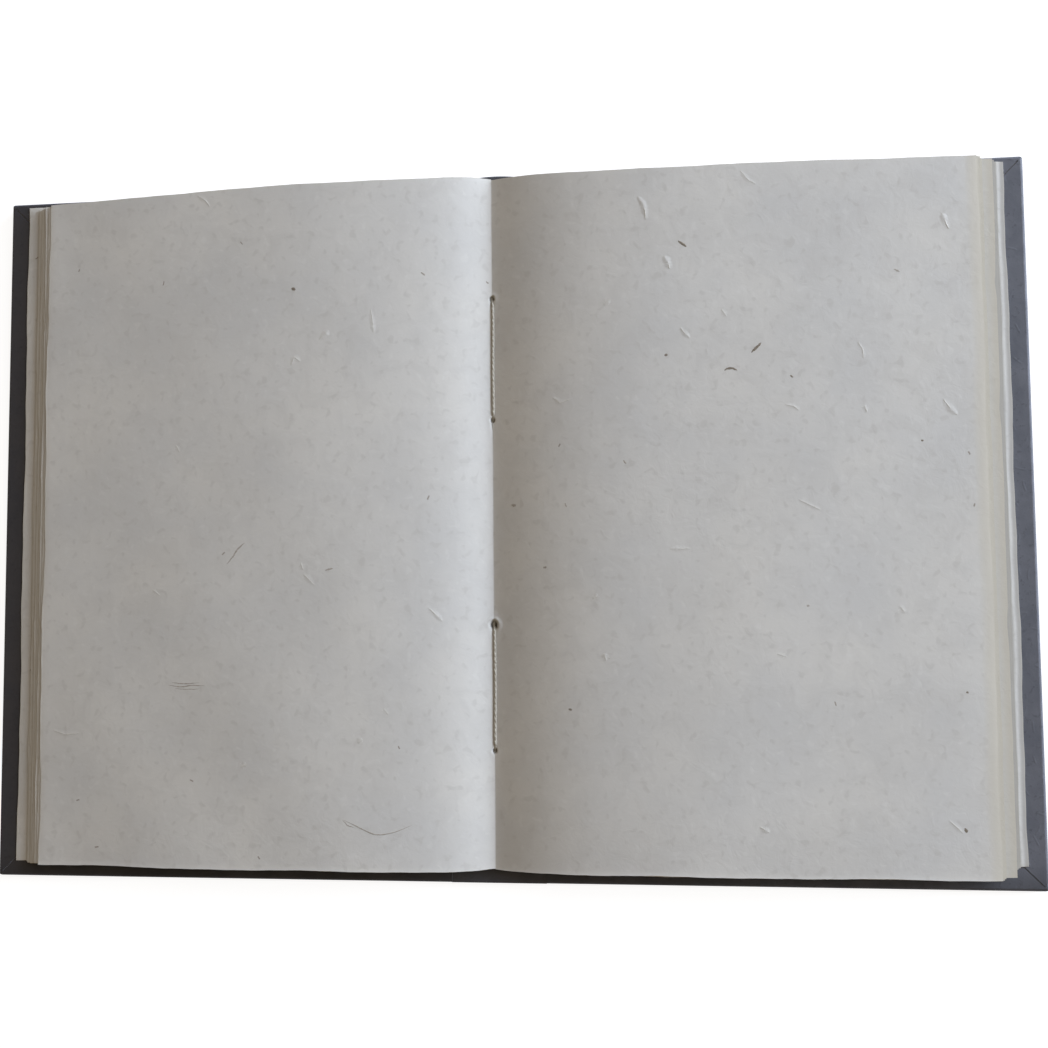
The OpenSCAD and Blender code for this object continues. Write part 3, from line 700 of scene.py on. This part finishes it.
def makeEndPaper(name, plan, shape):
    # A flat sheet at the boards' level that dips into the joint as a sine: z = top - dip * sin(pi * t), t from 0 to 1
    # over the joint
    rng = np.random.default_rng(plan["seed"])
    side = plan["side"]
    cols = np.concatenate([np.arange(shape["inner"], 14, 0.6), np.linspace(14.5, 122, 44), np.arange(123, 127, 0.8),
                           plan["outer"] - np.array(shape["outerCols"])])
    rows = np.concatenate([[0, 0.0008, 0.002, 0.005], np.linspace(0.012, 0.988, 80), [0.995, 0.998, 0.9992, 1]])
    phases = rng.uniform(0, 6.28, 9)
    head = plan["head"] - 0.28 + waves(cols[None, :], *shape["head"], phases[:3])
    tail = plan["tail"] + 0.28 + waves(cols[None, :], *shape["tail"], phases[3:6])
    y = tail + (head - tail) * rows[:, None]
    edge = (waves(y, *shape["fore"], phases[6:9]) - 0.27) * (cols[None, :] / plan["outer"]) ** 2
    d = cols[None, :] + edge
    t = np.clip((d - shape["joint"][0]) / (shape["joint"][1] - shape["joint"][0]), 0, 1)
    toFore = plan["outer"] - cols[None, :]
    toEdge = np.minimum(np.minimum(head - y, y - tail), toFore)
    ridge = plan["ridge"] * np.exp(-((toFore - shape["ridgePlace"]) / 0.55) ** 2)
    z = shape["top"] - shape["dip"] * np.sin(np.pi * t) - 0.04 * np.exp(-toEdge / 0.3) + ridge
    thickness = np.where(d < 10, 0.24, 0.28) + 0 * z
    top = np.stack([side * d, y, z], -1)
    uv = np.stack([side * d + 9000 * side, y + 70], -1)
    # Painted shade over the back end leaf, all but its ridge near the fore-edge
    under = plan["shade"] * (1 - np.exp(-((toFore - shape["ridgePlace"]) / 0.8) ** 2)) + 0 * z
    looks = dict(rim=0.3 * np.exp(-toEdge / 0.6), under=under)
    mesh = sheetMesh("endPaper", top, thickness, handmadePaper, uv, looks, side)
    thing = joinMeshes(name, [(mesh, 0)], [handmadePaper])
    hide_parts(plan["node"])
    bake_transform(thing)


for name, plan in endPapers.items():
    makeEndPaper(name, plan, endPaperShape)


# Strip of covering paper over the spine and both joints, in two halves; its ends turn in over the spine board. proud
# is how far it stands out past its reach in the middle, at the tail and at the head
spineStrip = dict(outer=12.2, boardHalf=7.85, reach=91.24, proud=(0.12, 1.6), boardTop=2.10, paper=0.3, turnIn=14.0,
                  jointTop=2.38, corner=0.5, blend=(6.8, 11.2))


def makeSpineStrip(name, side, plan):
    # Profile along y: in from the turned-in end, round the board's end, under it and up at the other end; the turn-in
    # lies on the board over the spine and falls to the joint's level beside it, as a smoothstep over 2 mm
    cols = np.concatenate([np.linspace(0, 6.2, 8), np.arange(6.7, 11.7, 0.45), [11.85, plan["outer"]]])
    s = np.clip((cols - plan["boardHalf"]) / 2.0, 0, 1)
    onBoard = plan["boardTop"] + plan["paper"]
    level = onBoard + (plan["jointTop"] - onBoard) * s * s * (3 - 2 * s)
    reach, corner = plan["reach"], plan["corner"]
    turn = np.linspace(0, np.pi / 2, 6)
    ys = np.concatenate([np.linspace(reach - plan["turnIn"], reach - corner, 10),
                         reach - corner + corner * np.sin(turn[1:]), reach - corner + corner * np.cos(turn),
                         np.linspace(reach - corner - 1, 0, 30)])
    above = np.repeat([1.0, 0.0], (15, 36))[:, None]
    drop = np.concatenate([np.zeros(10), corner * (1 - np.cos(turn[1:])), corner * (1 - np.sin(turn)), np.zeros(30)])
    z = above * (level[None, :] - drop[:, None]) + (1 - above) * drop[:, None]
    z = np.concatenate([z, z[-2::-1]])
    y = np.concatenate([ys, -ys[-2::-1]])[:, None]
    proud = np.cos(np.pi / 2 * cols / (plan["outer"] + 0.6))[None, :]
    y = y + np.clip((y - 60) / 30, 0, 1) * plan["proud"][1] * proud - np.clip((-60 - y) / 30, 0, 1) * plan["proud"][0]
    across = np.broadcast_to(side * cols, z.shape)
    run = np.concatenate([[0], np.cumsum(np.abs(np.diff(y[:, 0])) + 0.3)])
    uv = np.stack([across, np.broadcast_to(run[:, None], z.shape)], -1)
    top, thickness = np.stack([across, y, z], -1), np.full(z.shape, plan["paper"] - 0.04)
    mesh = sheetMesh("strip", top, thickness, slateStrip, uv, {}, side)
    thing = joinMeshes(name, [(mesh, 0)], [slateStrip])
    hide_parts("spine_cover_paper")
    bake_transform(thing)


makeSpineStrip("spineStripLeft", -1, spineStrip)
makeSpineStrip("spineStripRight", 1, spineStrip)


# Linen thread of two twisted plies: in through the outer holes and along the fold, behind the fold between the inner
# ones, knotted at both ends
threadPlan = dict(x=-0.38, behindX=-0.7, inside=4.26, behind=3.2, ends=(-69.75, 71.25), ply=(0.31, 0.2), twist=0.1,
                  pitch=3.0, inset=1.5, slack=0.05, step=0.12, knotReach=0.28, knotTurns=1.9, knotSize=0.2)


def makeThread(plan):
    # Centre line through the holes with round bends; ply p lies twist away from it at the angle
    # 2 pi * length / pitch + pi * p. A knot is a flat coil of knotTurns turns
    holes = needleHoles["places"]
    top, bottom, inset, twist = plan["inside"], plan["behind"], plan["inset"], plan["twist"]
    route = [(plan["ends"][0], bottom), (holes[3], bottom), (holes[3] + inset, top), (holes[2] - inset, top),
             (holes[2], bottom), (holes[1], bottom), (holes[1] + inset, top), (holes[0] - inset, top),
             (holes[0], bottom), (plan["ends"][1], bottom)]
    dense = []
    for (y0, z0), (y1, z1) in zip(route[:-1], route[1:]):
        count = max(int(np.hypot(y1 - y0, z1 - z0) / plan["step"]), 2)
        dense.append(np.linspace((y0, z0), (y1, z1), count, endpoint=False))
    line = smoothed(np.concatenate(dense), 14)
    length = np.concatenate([[0], np.cumsum(np.linalg.norm(np.diff(line, axis=0), axis=1))])
    ahead = np.gradient(line, axis=0)
    ahead /= np.linalg.norm(ahead, axis=1, keepdims=True)
    inside = np.clip((line[:, 1] - bottom) / (top - bottom), 0, 1)
    across = plan["behindX"] + (plan["x"] - plan["behindX"]) * inside + plan["slack"] * np.sin(length / 3.7)
    size = np.ones(len(line))
    size[0] = size[-1] = 0.15
    meshes = []
    for p in (0, 1):
        angle = 2 * np.pi * length / plan["pitch"] + np.pi * p
        path = np.column_stack([across + twist * np.cos(angle), line[:, 0] - ahead[:, 1] * twist * np.sin(angle),
                                line[:, 1] + ahead[:, 0] * twist * np.sin(angle)])
        ply = tubeMesh("ply", path, size * plan["ply"][0], size * plan["ply"][1], fibreMaterials["thread"], 10)
        meshes.append((ply, 0))
    t = np.linspace(0, 2 * np.pi * plan["knotTurns"], 40)
    around, thick = plan["knotReach"], np.full(len(t), plan["knotSize"])
    for end in plan["ends"]:
        path = np.column_stack([plan["behindX"] + around * np.cos(t), end + around * np.sin(t),
                                bottom + 0.012 * t - 0.02])
        meshes.append((tubeMesh("knot", path, thick, thick, fibreMaterials["thread"], 8), 0))
    thing = joinMeshes("linenSewing", meshes, [fibreMaterials["thread"]])
    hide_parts("sewing_thread")
    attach(thing, "spine")


makeThread(threadPlan)
print("endpapers, spine strip and thread made")


# Floor, background and lights
stagePlan = dict(size=6.0, below=0.05, floorColour="#F2F2F0", whiteShare=0.62, white=1.4)


def makeStage(plan):
    # Plain floor: part of its white is given to camera rays only, so the object keeps its shadow on it
    made, tree = newMaterial("paleFloor")
    path = addNode(tree, "LightPath")
    most = dict(operation="MAXIMUM")
    seen = addNode(tree, "Math", most, {0: path.outputs["Is Camera Ray"], 1: path.outputs["Is Glossy Ray"]})
    seenAll = addNode(tree, "Math", most, {0: seen, 1: path.outputs["Is Transmission Ray"]})
    share = addNode(tree, "Math", multiply, {0: seenAll, 1: plan["whiteShare"]})
    matt = addNode(tree, "BsdfDiffuse", None, {"Color": colour(plan["floorColour"])})
    white = addNode(tree, "Emission", None, {"Color": (1, 1, 1, 1), "Strength": plan["white"]})
    mixed = addNode(tree, "MixShader", None, {0: share, 1: matt, 2: white})
    addNode(tree, "OutputMaterial", None, {0: mixed})
    half, z = plan["size"] / 2, -plan["below"] * mm
    mesh = bpy.data.meshes.new("floor")
    mesh.from_pydata([(-half, -half, z), (half, -half, z), (half, half, z), (-half, half, z)], [], [(0, 1, 2, 3)])
    mesh.materials.append(made)
    floor = bpy.data.objects.new("floor", mesh)
    bpy.context.scene.collection.objects.link(floor)


makeStage(stagePlan)


# A low window to the right and a little above, its reflection in the room, and an even fill
lampPlan = dict(
    window=dict(azimuth=24, elevation=13, distance=1.5, size=(1.3, 0.72), power=55.5, tint="#DDEAFF"),
    sky=dict(azimuth=35, elevation=42, distance=1.5, size=(1.4, 1.0), power=8.9, tint="#DDEAFF"))
worldPlan = dict(fill="#FFE5C0", strength=0.262)


def makeLamps(plan):
    for name, lamp in plan.items():
        data = bpy.data.lights.new(name, "AREA")
        data.shape, data.size, data.size_y = "RECTANGLE", *lamp["size"]
        data.energy, data.color = lamp["power"], colour(lamp["tint"])[:3]
        made = bpy.data.objects.new(name, data)
        a, e = np.radians(lamp["azimuth"]), np.radians(lamp["elevation"])
        away = np.array([np.cos(e) * np.cos(a), np.cos(e) * np.sin(a), np.sin(e)])
        side = np.array([-np.sin(a), np.cos(a), 0.0])
        turn = Matrix((side.tolist(), np.cross(away, side).tolist(), away.tolist())).transposed()
        made.matrix_world = Matrix.Translation((away * lamp["distance"]).tolist()) @ turn.to_4x4()
        bpy.context.scene.collection.objects.link(made)


def makeWorld(plan):
    world = bpy.data.worlds.new("room")
    world.use_nodes = True
    tree = world.node_tree
    tree.nodes.clear()
    path = addNode(tree, "LightPath")
    fill = addNode(tree, "Background", None, {"Color": colour(plan["fill"]), "Strength": plan["strength"]})
    white = addNode(tree, "Background", None, {"Color": (1, 1, 1, 1), "Strength": 1})
    mixed = addNode(tree, "MixShader", None, {0: path.outputs["Is Camera Ray"], 1: fill, 2: white})
    addNode(tree, "OutputWorld", None, {0: mixed})
    bpy.context.scene.world = world


makeLamps(lampPlan)
makeWorld(worldPlan)
bpy.context.scene.view_settings.view_transform = "Standard"
print("stage and lamps set")
